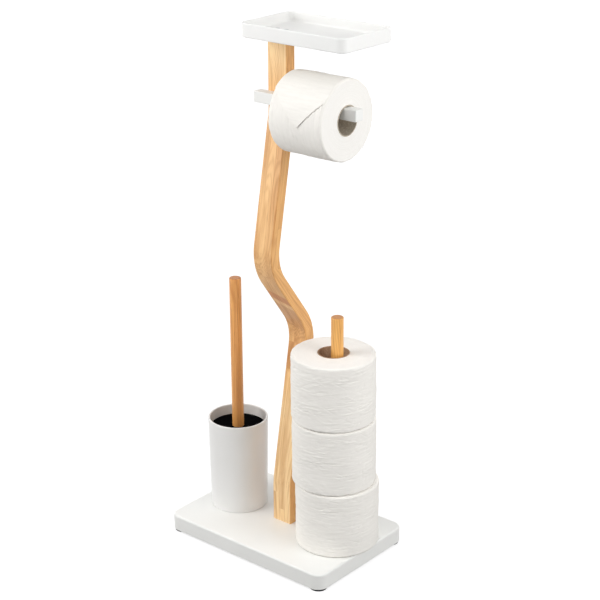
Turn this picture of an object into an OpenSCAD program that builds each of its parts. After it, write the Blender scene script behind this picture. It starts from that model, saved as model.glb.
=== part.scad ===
// Free-standing toilet roll holder with a zigzag wooden post, a small tray, a bar for the roll
// in use, a rod for three spare rolls, and a toilet brush in its cup.
// Millimetres. +X runs along the base towards the spare rolls, +Z is up, and the origin is the
// middle of the base on the floor.

/* [Base] */
// Length of the base slab
base_len = 300; // [280:5:340]
// Width of the base slab
base_wid = 200; // [160:5:240]
// Thickness of the base slab
base_thk = 25; // [20:1:32]
// Radius of the slab's upright corners
base_corner_r = 17; // [15:1:40]
// Rounding of the slab's top edge
base_top_edge_r = 3; // [1:0.5:6]
// Rounding of the slab's bottom edge
base_low_edge_r = 1.5; // [0.5:0.5:3]
// Diameter of each rubber foot
foot_d = 20; // [14:1:26]
// Height of each rubber foot
foot_h = 3; // [2:0.5:5]
// Rounding of each foot's lower edge
foot_edge_r = 0.8; // [0.4:0.1:1.5]
// From the slab's sides to the middle of each foot
foot_inset = 15; // [12:1:30]

/* [Post] */
// Width of the post along the base
post_w = 34; // [28:1:40]
// Thickness of the post from front to back
post_t = 18; // [16:0.5:22]
// Rounding of the post's long edges
post_edge_r = 1.5; // [0.5:0.5:3]
// Height above the base of the low bend, where the post leaves the upright
low_bend_h = 65; // [60:1:90]
// From the low bend up to the bend that reaches furthest back
back_bend_rise = 240.5; // [225:0.5:255]
// How far back that bend reaches
back_bend_y = 43.5; // [30:0.5:55]
// From the back bend up to the bend that reaches furthest forward
front_bend_rise = 114.5; // [105:0.5:135]
// How far forward that bend reaches
front_bend_y = 40.5; // [30:0.5:50]
// From the front bend up to the top bend, where the post is upright again
top_bend_rise = 218; // [200:1:240]
// Height of the post's upright head above the top bend
head_h = 108; // [100:1:140]
// Radius of the two sharp bends, at the middle of the wood
sharp_bend_r = 72; // [60:2:100]
// Radius of the two slight bends, at the middle of the wood
slight_bend_r = 120; // [80:5:130]

/* [Tray] */
// Length of the tray
tray_len = 182.5; // [150:0.5:200]
// Width of the tray
tray_wid = 108; // [90:1:120]
// Height of the tray
tray_h = 20; // [14:1:26]
// Thickness of the tray's rim
tray_wall = 3.5; // [2.5:0.5:5]
// Thickness of the tray's floor
tray_floor_t = 6; // [5:0.5:8]
// Radius of the tray's upright corners
tray_corner_r = 13; // [10:1:20]
// Rounding of the tray's bottom edge
tray_low_edge_r = 2; // [1:0.5:3]
// Fillet between the tray's floor and rim
tray_fillet_r = 3; // [1:0.5:5]
// How far the tray runs past the post's middle, away from the rolls
tray_over = 30; // [20:1:40]

/* [Roll bar] */
// Side of the square bar
bar_s = 16; // [14:0.5:20]
// Length of the bar
bar_len = 180; // [160:2:200]
// How far the bar runs past the post's middle, away from the roll
bar_over = 30; // [20:1:40]
// From the post's top bend up to the bar's underside
bar_rise = 13; // [13:1:30]
// Rounding of the bar's edges
bar_edge_r = 1.2; // [0.4:0.1:2]

/* [Spare roll rod] */
// Diameter of the rod
rod_d = 18; // [16:0.5:22]
// Height of the rod above the base
rod_h = 357; // [330:1:380]
// From the end of the base to the rod
rod_inset = 50; // [46:1:58]
// Rounding of the rod's top edge
rod_edge_r = 1.5; // [0.5:0.5:3]

/* [Rolls] */
// Diameter of a spare roll
spare_d = 124; // [110:1:130]
// Height of a spare roll
spare_len = 100; // [90:1:105]
// Bore of a spare roll's core
spare_bore_d = 44; // [42:0.5:48]
// Wall of each cardboard core
core_wall = 1.2; // [0.8:0.1:2]
// Rounding of the paper's outer edges
paper_edge_r = 3; // [1:0.5:5]
// Diameter of the roll in use
hang_d = 114; // [80:1:120]
// Length of the roll in use
hang_len = 92; // [85:1:105]
// Bore of its core
hang_bore_d = 40; // [38:0.5:44]
// From the post's side to the roll in use
hang_gap = 21; // [10:1:30]

/* [Brush cup] */
// From the end of the base to the cup's middle
cup_inset = 55.5; // [50:0.5:60]
// Diameter of the cup's rim
cup_top_d = 91.5; // [86:0.5:96]
// Diameter of the cup's foot
cup_foot_d = 87; // [82:0.5:92]
// Height of the cup
cup_h = 145.5; // [138:0.5:156]
// Wall of the cup
cup_wall = 3; // [2:0.5:4]
// Floor of the cup
cup_floor_t = 4; // [3:0.5:6]
// Height of the hollow under the cup's floor
cup_foot_hollow = 1; // [0.5:0.5:2]
// Width of the ring that the cup stands on
cup_foot_ring = 4; // [3:0.5:8]
// Fillet between the cup's floor and wall
cup_fillet_r = 4; // [2:0.5:4.5]

/* [Toilet brush] */
// Diameter of the brush handle
handle_d = 18; // [15:0.2:20]
// Length of the brush handle
handle_len = 281; // [250:1:300]
// Rounding of the handle's top edge
handle_edge_r = 1.5; // [0.5:0.5:3]
// Diameter of the brush over its bristles
brush_d = 70; // [62:1:74]
// Height of the straight part of the bristles
brush_straight_h = 46; // [40:1:50]
// Diameter of the backing that holds the bristles
backing_d = 25; // [22:1:28]
// Thickness of that backing
backing_t = 3; // [2:0.5:4]
// Height of the neck between the bristles and the splash collar
neck_h = 24; // [22:1:28]
// Wall of the neck around the handle
neck_wall = 3.2; // [2.5:0.1:4]
// Depth of the neck's socket for the handle
socket_depth = 18; // [14:1:20]
// How far the splash collar lies below the cup's rim
collar_drop = 15.5; // [8:0.5:18]
// Thickness of the splash collar
collar_t = 3; // [2:0.5:5]
// Height of the splash collar's outer lip
collar_lip_h = 7; // [5:0.5:10]
// Thickness of that lip
collar_lip_t = 1.6; // [1.2:0.2:3]

/* [Bristles] */
// Bristles in one ring
bristles_round = 24; // [20:2:28]
// Rings of bristles on the straight part
straight_rings = 10; // [9:1:12]
// Rings of bristles on the rounded end
end_rings = 4; // [4:1:5]
// Width of a bristle where it leaves the backing
bristle_root_w = 0.8; // [0.6:0.1:1]
// Width of a bristle at its tip
bristle_tip_w = 1.3; // [0.6:0.1:1.6]

/* [Fasteners] */
// Diameter of the bolts that come up through the base
bolt_d = 6; // [5:0.5:7]
// Length of those bolts under the head
bolt_len = 44; // [42:1:48]
// Diameter of those bolts' heads
bolt_head_d = 11; // [10:0.5:12]
// Height of those bolts' heads
bolt_head_h = 4; // [3:0.5:5]
// Depth of the recess for each of those heads
bolt_recess = 8; // [6:0.5:10]
// Distance between the two bolts of the post
post_bolt_gap = 16; // [14:0.5:17]
// Outer diameter of the brass inserts
insert_d = 9; // [8.5:0.1:9.6]
// Length of the brass inserts
insert_len = 14; // [10:1:18]
// Diameter of the wood screws in the tray and the bar
screw_d = 4.5; // [4:0.5:5]
// Diameter of those screws' heads
screw_head_d = 9; // [8:0.5:10]
// Height of the straight rim of the tray screws' heads
screw_rim_h = 0.2; // [0.1:0.1:0.5]
// Distance between the two screws of a pair
screw_gap = 16; // [14:1:18]
// How deep the tray's screws go into the post
tray_screw_depth = 28; // [20:1:40]
// How deep the bar's screws go into the bar
bar_screw_depth = 11; // [8:0.5:12]
// Height of the bar's screw heads
bar_screw_head_h = 3; // [2:0.5:4]
// Depth of the recess for each of those heads in the post's back
bar_screw_recess = 4; // [4:0.5:6]
// Diameter of the steel stud in the brush handle
stud_d = 6; // [5:0.5:7]
// Length of that stud
stud_len = 36; // [30:1:44]

/* [Clearances] */
// Around a fastener, and between pieces that are fixed in each other
fixed_gap = 0.1; // [0.05:0.05:0.2]
// Between a bolt's shank and the hole that it passes through
bolt_gap = 0.3; // [0.2:0.1:0.5]
// Between a piece that lifts off and what it stands on
stand_gap = 0.1; // [0.05:0.05:0.3]
// Between the bar's edges and the core that turns on them
hang_clearance = 0.3; // [0.2:0.1:0.5]
// Between the splash collar and the cup
collar_gap = 0.6; // [0.4:0.1:1.2]
// Between the bristles and the cup's floor
bristle_gap = 0.3; // [0.2:0.1:0.6]

/* [Hidden] */
$fn = 64;

white = [0.93, 0.93, 0.91];
pale_wood = [0.87, 0.68, 0.43];
rod_wood = [0.85, 0.63, 0.33];
handle_wood = [0.74, 0.49, 0.28];
black = [0.04, 0.04, 0.045];
steel = [0.72, 0.73, 0.75];
brass = [0.78, 0.62, 0.32];
tissue = [0.95, 0.94, 0.92];
cardboard = [0.72, 0.67, 0.59];

base_top = foot_h + base_thk;
back_bend_h = low_bend_h + back_bend_rise;
front_bend_h = back_bend_h + front_bend_rise;
top_bend_h = front_bend_h + top_bend_rise;
post_h = top_bend_h + head_h;
post_top = base_top + post_h;
post_bolts_x = [-post_bolt_gap / 2, post_bolt_gap / 2];
screws_x = [-screw_gap / 2, screw_gap / 2];
bolt_seat = foot_h + bolt_recess;
bolt_tip = bolt_seat + bolt_len;
tip_room = 2;

tray_mid_x = tray_len / 2 - tray_over;
tray_floor_z = post_top + tray_floor_t;
countersink_h = (screw_head_d - screw_d) / 2;

post_front_y = -post_t / 2;
bar_mid_x = bar_len / 2 - bar_over;
bar_mid_y = post_front_y - bar_s / 2;
bar_z = base_top + top_bend_h + bar_rise;
bar_mid_z = bar_z + bar_s / 2;
bar_screw_head_y = post_t / 2 - bar_screw_recess;

rod_x = base_len / 2 - rod_inset;
// The middle of each spare roll from the rod, bottom to top: they are stacked loosely
spare_shifts = [[-3.5, 5], [-7.7, 2.8], [-8.3, 1.9]];
function spare_z(level) = base_top + stand_gap + level * (spare_len + stand_gap);

// The core of the roll in use hangs on the bar's two upper edges, a clearance away from their
// rounded corners, and the roll turns about its own middle
hang_reach = hang_bore_d / 2 - hang_clearance - bar_edge_r;
hang_half = bar_s / 2 - bar_edge_r;
hang_z = bar_z + bar_s - bar_edge_r - sqrt(pow(hang_reach, 2) - pow(hang_half, 2));
hang_x = post_w / 2 + hang_gap;

cup_x = base_len / 2 - cup_inset;
cup_foot_z = base_top + stand_gap;
cup_top_z = cup_foot_z + cup_h;
cup_floor_z = cup_foot_z + cup_floor_t;
function cup_r(z) = cup_foot_d / 2 + (cup_top_d - cup_foot_d) / 2 * (z - cup_foot_z) / cup_h;

// The rounded end's lowest ring of bristles leans this far below the level
end_lean = 72;
brush_r = brush_d / 2;
backing_r = backing_d / 2;
round_z = cup_floor_z + bristle_gap + brush_r * sin(end_lean);
backing_top_z = round_z + brush_straight_h;
neck_top_z = backing_top_z + neck_h;
handle_foot_z = neck_top_z - socket_depth;
collar_top_z = cup_top_z - collar_drop;
collar_low_z = collar_top_z - collar_lip_h;
collar_r = cup_r(collar_low_z) - cup_wall - collar_gap;
neck_r = handle_d / 2 + fixed_gap + neck_wall;
spigot_r = backing_r - backing_t;
spigot_len = brush_straight_h;

// Points along an arc, from one angle to another
function arc(cx, cy, r, from, to, steps = 6) = [
  for (i = [0:steps]) let (a = from + (to - from) * i / steps) [cx + r * cos(a), cy + r * sin(a)]
];

// Section of a slab from its corner's axis to its side, rounded at the top and bottom edges
module slab_section(r, h, top_r, low_r) {
  polygon(concat(
    [[0, 0]],
    arc(r - low_r, low_r, low_r, -90, 0),
    arc(r - top_r, h - top_r, top_r, 0, 90),
    [[0, h]]
  ));
}

// Section of the tray from its corner's axis over the floor and up the rim
module tray_section() {
  r = tray_corner_r;
  rim_r = tray_wall / 2.5;
  inner = r - tray_wall;
  polygon(concat(
    [[0, 0]],
    arc(r - tray_low_edge_r, tray_low_edge_r, tray_low_edge_r, -90, 0),
    arc(r - rim_r, tray_h - rim_r, rim_r, 0, 90),
    arc(inner + rim_r, tray_h - rim_r, rim_r, 90, 180),
    arc(inner - tray_fillet_r, tray_floor_t + tray_fillet_r, tray_fillet_r, 0, -90),
    [[0, tray_floor_t]]
  ));
}

// A rectangular slab or pan: its edge section goes round the corners and along the sides, and a
// plain block of the given height fills the middle
module rounded_pan(len, wid, r, mid_h) {
  dx = len / 2 - r;
  dy = wid / 2 - r;
  for (q = [0:3]) {
    translate([q == 0 || q == 3 ? dx : -dx, q < 2 ? dy : -dy, 0])
      rotate(90 * q) rotate_extrude(angle = 90) children();
  }
  for (side = [0, 180]) rotate(side) {
    translate([-dx, dy, 0]) rotate([90, 0, 90]) linear_extrude(height = 2 * dx) children();
    translate([dx, dy, 0]) rotate([90, 0, 0]) linear_extrude(height = 2 * dy) children();
  }
  translate([-dx, -dy, 0]) cube([2 * dx, 2 * dy, mid_h]);
}

// A turned rod that stands on z = 0, with a rounded top edge
module turned_rod(d, len, edge_r) {
  rotate_extrude() polygon(concat(
    [[0, 0], [d / 2, 0]],
    arc(d / 2 - edge_r, len - edge_r, edge_r, 0, 90),
    [[0, len]]
  ));
}

// A bolt that points up from its head's seat at z = 0, with a hexagonal key socket in its head
module cap_bolt(d, len, head_d, head_h) {
  difference() {
    union() {
      translate([0, 0, -head_h]) cylinder(d = head_d, h = head_h);
      cylinder(d = d, h = len);
    }
    translate([0, 0, -head_h - 1]) cylinder(d = d * 0.8, h = head_h * 0.6 + 1, $fn = 6);
  }
}

// A wood screw that points down from the top of its head at z = 0, with a cross in its head
module wood_screw(d, head_d, head_h, flat_h, len) {
  point = d * 0.9;
  slot_w = d * 0.22;
  slot_l = head_d * 0.55;
  difference() {
    union() {
      rotate_extrude() polygon([
        [0, 0], [head_d / 2, 0], [head_d / 2, -flat_h], [d / 2, -head_h],
        [d / 2, -len + point], [0, -len]
      ]);
    }
    for (turn = [0, 90]) {
      rotate(turn) translate([-slot_l / 2, -slot_w / 2, -head_h * 0.5]) cube([slot_l, slot_w, head_h]);
    }
  }
}

// A hole for a bolt: wide for the insert from z = 0 up, then narrow for the bolt's tip
module insert_hole(tip) {
  translate([0, 0, -1]) cylinder(d = insert_d + 2 * fixed_gap, h = insert_len + fixed_gap + 1);
  cylinder(d = bolt_d + 2 * bolt_gap, h = tip + tip_room);
}

module brass_insert() {
  difference() {
    cylinder(d = insert_d, h = insert_len);
    translate([0, 0, -1]) cylinder(d = bolt_d + 2 * fixed_gap, h = insert_len + 2);
  }
}

module base_slab() {
  color(white) difference() {
    translate([0, 0, foot_h]) rounded_pan(base_len, base_wid, base_corner_r, base_thk)
      slab_section(base_corner_r, base_thk, base_top_edge_r, base_low_edge_r);
    for (x = concat(post_bolts_x, [rod_x])) translate([x, 0, foot_h]) {
      translate([0, 0, -1]) cylinder(d = bolt_d + 2 * bolt_gap, h = base_thk + 2);
      translate([0, 0, -1]) cylinder(d = bolt_head_d + 2 * bolt_gap, h = bolt_recess + 1);
    }
  }
}

module rubber_feet() {
  for (sx = [-1, 1], sy = [-1, 1])
    color(black) translate([sx * (base_len / 2 - foot_inset), sy * (base_wid / 2 - foot_inset), 0])
      rotate_extrude() polygon(concat(
        [[0, 0]],
        arc(foot_d / 2 - foot_edge_r, foot_edge_r, foot_edge_r, -90, 0),
        [[foot_d / 2, foot_h], [0, foot_h]]
      ));
}

// The post's middle line in the upright plane that runs from front to back: [y, z] at its foot,
// its four bends and its top
post_line = [
  [0, base_top], [0, base_top + low_bend_h], [back_bend_y, base_top + back_bend_h],
  [-front_bend_y, base_top + front_bend_h], [0, base_top + top_bend_h], [0, post_top]
];
bend_radii = [slight_bend_r, sharp_bend_r, sharp_bend_r, slight_bend_r];
bend_steps = [6, 24, 24, 6];
function leg_lean(i) = let (leg = post_line[i + 1] - post_line[i]) atan2(leg[0], leg[1]);
function along(a) = [sin(a), cos(a)];
function across(a) = [cos(a), -sin(a)];
// Places along one bend, each with its lean: [[y, z], lean]
function bend_places(i) = let (
  from = leg_lean(i), to = leg_lean(i + 1), side = sign(to - from), r = bend_radii[i],
  start = post_line[i + 1] - along(from) * r * tan(abs(to - from) / 2),
  middle = start + across(from) * r * side
) [
  for (k = [0:bend_steps[i]])
    let (a = from + (to - from) * k / bend_steps[i]) [middle - across(a) * r * side, a]
];
post_places = concat(
  [[post_line[0], leg_lean(0)]],
  [for (i = [0:3]) each bend_places(i)],
  [[post_line[5], leg_lean(4)]]
);
post_section = let (u = post_w / 2 - post_edge_r, v = post_t / 2 - post_edge_r, r = post_edge_r, n = 4) concat(
  arc(u, v, r, 0, 90, n), arc(-u, v, r, 90, 180, n), arc(-u, -v, r, 180, 270, n), arc(u, -v, r, 270, 360, n)
);

module post_blank() {
  n = len(post_section);
  rings = len(post_places);
  points = [
    for (p = post_places, s = post_section)
      [s[0], p[0][0] + s[1] * cos(p[1]), p[0][1] - s[1] * sin(p[1])]
  ];
  sides = [
    for (k = [0:rings - 2], i = [0:n - 1])
      let (j = (i + 1) % n) [k * n + i, (k + 1) * n + i, (k + 1) * n + j, k * n + j]
  ];
  foot = [[for (i = [0:n - 1]) i]];
  top = [[for (i = [n - 1:-1:0]) (rings - 1) * n + i]];
  polyhedron(points = points, faces = concat(foot, sides, top), convexity = 4);
}

module post() {
  color(pale_wood) difference() {
    post_blank();
    for (x = post_bolts_x) translate([x, 0, base_top]) insert_hole(bolt_tip - base_top);
    for (x = screws_x) {
      translate([x, 0, post_top - tray_screw_depth - fixed_gap])
        cylinder(d = screw_d + 2 * fixed_gap, h = tray_screw_depth + fixed_gap + 1);
      translate([x, 0, bar_mid_z]) rotate([90, 0, 0]) {
        translate([0, 0, -post_t / 2 - 1]) cylinder(d = screw_d + 2 * fixed_gap, h = post_t + 2);
        translate([0, 0, -post_t / 2 - 1]) cylinder(d = screw_head_d + 2 * bolt_gap, h = bar_screw_recess + 1);
      }
    }
  }
}

module post_bolts() {
  for (x = post_bolts_x) color(steel) translate([x, 0, bolt_seat])
    cap_bolt(bolt_d, bolt_len, bolt_head_d, bolt_head_h);
}

module post_inserts() {
  for (x = post_bolts_x) color(brass) translate([x, 0, base_top]) brass_insert();
}

module tray() {
  color(white) difference() {
    translate([tray_mid_x, 0, post_top])
      rounded_pan(tray_len, tray_wid, tray_corner_r, tray_floor_t) tray_section();
    for (x = screws_x) translate([x, 0, tray_floor_z]) {
      shank_hole = screw_d + 2 * fixed_gap;
      head_hole = screw_head_d + 2 * fixed_gap;
      translate([0, 0, -tray_floor_t - 1]) cylinder(d = shank_hole, h = tray_floor_t + 2);
      translate([0, 0, -countersink_h])
        cylinder(d1 = shank_hole, d2 = head_hole, h = countersink_h - screw_rim_h);
      translate([0, 0, -screw_rim_h]) cylinder(d = head_hole, h = screw_rim_h + 1);
    }
  }
}

module tray_screws() {
  for (x = screws_x) color(steel) translate([x, 0, tray_floor_z])
    wood_screw(screw_d, screw_head_d, countersink_h, screw_rim_h, tray_floor_t + tray_screw_depth);
}

module roll_bar() {
  corner_r = bar_edge_r + 0.3;
  color(white) difference() {
    translate([bar_mid_x, bar_mid_y, bar_z]) rounded_pan(bar_len, bar_s, corner_r, bar_s)
      slab_section(corner_r, bar_s, bar_edge_r, bar_edge_r);
    for (x = screws_x) translate([x, post_front_y + 1, bar_mid_z]) rotate([90, 0, 0])
      cylinder(d = screw_d + 2 * fixed_gap, h = bar_screw_depth + fixed_gap + 1);
  }
}

module bar_screws() {
  head_top_y = bar_screw_head_y + bar_screw_head_h;
  len = head_top_y + post_t / 2 + bar_screw_depth;
  for (x = screws_x) color(steel) translate([x, head_top_y, bar_mid_z]) rotate([-90, 0, 0])
    wood_screw(screw_d, screw_head_d, bar_screw_head_h, bar_screw_head_h, len);
}

module spare_rod() {
  color(rod_wood) translate([rod_x, 0, base_top]) difference() {
    turned_rod(rod_d, rod_h, rod_edge_r);
    insert_hole(bolt_tip - base_top);
  }
}

module rod_bolt() {
  color(steel) translate([rod_x, 0, bolt_seat]) cap_bolt(bolt_d, bolt_len, bolt_head_d, bolt_head_h);
}

module rod_insert() {
  color(brass) translate([rod_x, 0, base_top]) brass_insert();
}

module brush_cup() {
  rim_r = cup_wall / 2.2;
  foot_edge = 1;
  top_r = cup_top_d / 2;
  foot_r = cup_foot_d / 2;
  low_r = foot_r - cup_wall;
  color(white) translate([-cup_x, 0, cup_foot_z]) rotate_extrude() polygon(concat(
    [
      [0, cup_foot_hollow], [foot_r - cup_foot_ring - cup_foot_hollow, cup_foot_hollow],
      [foot_r - cup_foot_ring, 0]
    ],
    arc(foot_r - foot_edge, foot_edge, foot_edge, -90, 0),
    arc(top_r - rim_r, cup_h - rim_r, rim_r, 0, 90),
    arc(top_r - cup_wall + rim_r, cup_h - rim_r, rim_r, 90, 180),
    arc(low_r - cup_fillet_r, cup_floor_t + cup_fillet_r, cup_fillet_r, 0, -90),
    [[0, cup_floor_t]]
  ));
}

module brush_handle() {
  color(handle_wood) translate([-cup_x, 0, handle_foot_z]) difference() {
    turned_rod(handle_d, handle_len, handle_edge_r);
    translate([0, 0, -1]) cylinder(d = stud_d + 2 * fixed_gap, h = stud_len / 2 + fixed_gap + 1);
  }
}

module handle_stud() {
  color(steel) translate([-cup_x, 0, handle_foot_z - stud_len / 2]) cylinder(d = stud_d, h = stud_len);
}

// A flat collar with a turned-down lip, on a hub that stands on the brush's neck
module splash_collar() {
  bore_r = handle_d / 2 + fixed_gap;
  edge = 0.8;
  disc_z = collar_top_z - collar_t;
  lip_r = collar_r - collar_lip_t;
  color(black) translate([-cup_x, 0, 0]) rotate_extrude() polygon(concat(
    [
      [bore_r, neck_top_z], [neck_r, neck_top_z], [neck_r, disc_z], [lip_r, disc_z],
      [lip_r, collar_low_z], [collar_r, collar_low_z]
    ],
    arc(collar_r - edge, collar_top_z - edge, edge, 0, 90),
    [[bore_r, collar_top_z]]
  ));
}

// The moulded core: a spigot inside the bristles' backing, and a neck with the handle's socket
module brush_core() {
  spigot_low_z = backing_top_z - spigot_len;
  socket_r = handle_d / 2 + fixed_gap;
  shoulder = 3;
  stud_low_z = handle_foot_z - stud_len / 2 - fixed_gap;
  color(black) translate([-cup_x, 0, 0]) difference() {
    rotate_extrude() polygon([
      [0, spigot_low_z], [spigot_r, spigot_low_z], [spigot_r, backing_top_z], [backing_r, backing_top_z],
      [neck_r, backing_top_z + shoulder], [neck_r, neck_top_z], [0, neck_top_z]
    ]);
    translate([0, 0, handle_foot_z]) cylinder(r = socket_r, h = socket_depth + 1);
    translate([0, 0, stud_low_z]) cylinder(d = stud_d + 2 * fixed_gap, h = handle_foot_z - stud_low_z + 1);
  }
}

// Rings of bristles from the rounded end up, each with [height of its root, its radius, its lean
// below the level]
ring_pitch = brush_straight_h / straight_rings;
bristle_rings = concat(
  [for (i = [0:end_rings - 1]) let (lean = end_lean * (end_rings - i) / end_rings)
    [round_z - backing_r * sin(lean), backing_r * cos(lean), lean]],
  [for (i = [0:straight_rings - 1]) [round_z + ring_pitch * (i + 0.25), backing_r, 0]]
);
bristle_len = brush_r - backing_r;
// A point of a bristle's triangle: side is -1, 1 or, for the upper corner, 0
function bristle_point(ring, turn, side, w, out) = let (
  rise = side == 0 ? w * 0.58 : -w * 0.29,
  lean = ring[2],
  r = ring[1] + out * cos(lean) + rise * sin(lean),
  z = ring[0] - out * sin(lean) + rise * cos(lean),
  x = side * w / 2
) [r * cos(turn) - x * sin(turn), r * sin(turn) + x * cos(turn), z];

// The bristles grow out of one thin backing that fits over the core's spigot, and rings are
// staggered by half a step, so that none crosses another
module bristles() {
  n = bristles_round;
  rings = len(bristle_rings);
  step = 360 / n;
  bore_r = spigot_r + fixed_gap;
  bore_floor = backing_top_z - spigot_len - fixed_gap;
  points = concat(
    [for (k = [0:rings - 1], i = [0:n - 1]) let (turn = (i + (k % 2) / 2) * step)
      each concat(
        [for (side = [-1, 1, 0]) bristle_point(bristle_rings[k], turn, side, bristle_root_w, 0)],
        [for (side = [-1, 1, 0]) bristle_point(bristle_rings[k], turn, side, bristle_tip_w, bristle_len)]
      )],
    [for (ring = [[backing_r, backing_top_z], [bore_r, backing_top_z], [bore_r, bore_floor]], i = [0:n - 1])
      let (turn = (i + ((rings - 1) % 2) / 2) * step) [ring[0] * cos(turn), ring[0] * sin(turn), ring[1]]],
    [[0, 0, round_z - backing_r], [0, 0, bore_floor]]
  );
  low_pole = len(points) - 2;
  bore_pole = len(points) - 1;
  strands = [for (k = [0:rings - 1], i = [0:n - 1]) let (a = 6 * (k * n + i), b = a + 1, c = a + 2)
    each [
      [a, b, b + 3], [a, b + 3, a + 3], [b, c, c + 3], [b, c + 3, b + 3],
      [c, a, a + 3], [c, a + 3, c + 3], [a + 3, b + 3, c + 3]
    ]];
  between = [for (k = [0:rings - 1], i = [0:n - 1]) let (a = 6 * (k * n + i), next = 6 * (k * n + (i + 1) % n))
    each [[a + 1, next, next + 2], [a + 1, next + 2, a + 2]]];
  bands = [for (k = [0:rings - 2], i = [0:n - 1]) let (
    left = 6 * (k * n + (i - k % 2 + n) % n) + 2, right = 6 * (k * n + (i + 1 - k % 2) % n) + 2,
    a = 6 * ((k + 1) * n + i), next = 6 * ((k + 1) * n + (i + 1) % n))
    each [[left, right, a + 1], [left, a + 1, a], [right, next, a + 1]]];
  low_cap = [for (i = [0:n - 1]) let (a = 6 * i, next = 6 * ((i + 1) % n))
    each [[low_pole, a + 1, a], [low_pole, next, a + 1]]];
  last = 6 * (rings - 1) * n;
  rim = 6 * rings * n;
  shoulder = [for (i = [0:n - 1]) let (j = (i + 1) % n, a = last + 6 * i + 2, b = last + 6 * j + 2)
    each [[a, b, rim + j], [a, rim + j, rim + i]]];
  bore = [for (level = [0, 1], i = [0:n - 1]) let (j = (i + 1) % n, here = rim + level * n, next = here + n)
    each [[here + i, here + j, next + j], [here + i, next + j, next + i]]];
  bore_cap = [for (i = [0:n - 1]) [rim + 2 * n + i, rim + 2 * n + (i + 1) % n, bore_pole]];
  outward = concat(strands, between, bands, low_cap, shoulder, bore, bore_cap);
  color(black) translate([-cup_x, 0, 0])
    polyhedron(points = points, faces = [for (f = outward) [f[0], f[2], f[1]]], convexity = 10);
}

// A roll of paper about the Z axis, from z = 0 up, without its core
module paper(d, len, bore_d) {
  inner = bore_d / 2 + core_wall + fixed_gap;
  r = paper_edge_r;
  color(tissue) rotate_extrude() polygon(concat(
    [[inner, 0]], arc(d / 2 - r, r, r, -90, 0), arc(d / 2 - r, len - r, r, 0, 90), [[inner, len]]
  ));
}

module core(len, bore_d) {
  color(cardboard) difference() {
    cylinder(r = bore_d / 2 + core_wall, h = len);
    translate([0, 0, -1]) cylinder(d = bore_d, h = len + 2);
  }
}

module on_rod(level) {
  translate([rod_x + spare_shifts[level][0], spare_shifts[level][1], spare_z(level)]) children();
}

module on_bar() {
  translate([hang_x, bar_mid_y, hang_z]) rotate([0, 90, 0]) children();
}

module bottom_roll_paper() { on_rod(0) paper(spare_d, spare_len, spare_bore_d); }
module bottom_roll_core() { on_rod(0) core(spare_len, spare_bore_d); }
module middle_roll_paper() { on_rod(1) paper(spare_d, spare_len, spare_bore_d); }
module middle_roll_core() { on_rod(1) core(spare_len, spare_bore_d); }
module top_roll_paper() { on_rod(2) paper(spare_d, spare_len, spare_bore_d); }
module top_roll_core() { on_rod(2) core(spare_len, spare_bore_d); }
module hanging_roll_paper() { on_bar() paper(hang_d, hang_len, hang_bore_d); }
module hanging_roll_core() { on_bar() core(hang_len, hang_bore_d); }

base_slab();
rubber_feet();
post();
post_bolts();
post_inserts();
tray();
tray_screws();
roll_bar();
bar_screws();
spare_rod();
rod_bolt();
rod_insert();
brush_cup();
brush_handle();
handle_stud();
splash_collar();
brush_core();
bristles();
bottom_roll_paper();
bottom_roll_core();
middle_roll_paper();
middle_roll_core();
top_roll_paper();
top_roll_core();
hanging_roll_paper();
hanging_roll_core();
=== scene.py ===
"""Looks of the free-standing toilet roll holder: its woods, white finishes, paper rolls and brush.

Metres, in the part's own frame: +X along the base towards the spare rolls, +Z up, and the origin on
the floor under the middle of the base.
"""

import math

import bpy
import numpy as np
from mathutils import Matrix, Vector

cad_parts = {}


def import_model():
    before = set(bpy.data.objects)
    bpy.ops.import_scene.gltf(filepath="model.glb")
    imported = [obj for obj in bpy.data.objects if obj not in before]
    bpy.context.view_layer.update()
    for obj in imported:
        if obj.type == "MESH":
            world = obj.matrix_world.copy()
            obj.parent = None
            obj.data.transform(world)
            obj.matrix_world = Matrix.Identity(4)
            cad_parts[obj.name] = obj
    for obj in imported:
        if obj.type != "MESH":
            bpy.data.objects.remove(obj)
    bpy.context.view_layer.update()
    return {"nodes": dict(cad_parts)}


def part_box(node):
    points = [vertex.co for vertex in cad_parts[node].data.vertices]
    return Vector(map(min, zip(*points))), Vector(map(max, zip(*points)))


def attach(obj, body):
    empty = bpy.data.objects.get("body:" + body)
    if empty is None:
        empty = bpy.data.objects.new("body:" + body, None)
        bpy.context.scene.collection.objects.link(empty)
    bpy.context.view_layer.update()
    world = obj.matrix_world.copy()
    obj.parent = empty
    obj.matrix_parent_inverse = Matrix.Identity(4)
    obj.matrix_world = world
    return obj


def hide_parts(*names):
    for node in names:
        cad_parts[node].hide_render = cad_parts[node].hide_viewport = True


TAU = 2 * math.pi
WHITE = (1.0, 1.0, 1.0, 1.0)


# Shader helpers


def linear(r, g, b):
    """A colour given as it looks on a screen, 0 to 255, as the shader wants it."""
    shares = [c / 255 for c in (r, g, b)]
    return tuple(s / 12.92 if s <= 0.04 else ((s + 0.055) / 1.055) ** 2.4 for s in shares) + (1.0,)


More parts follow.
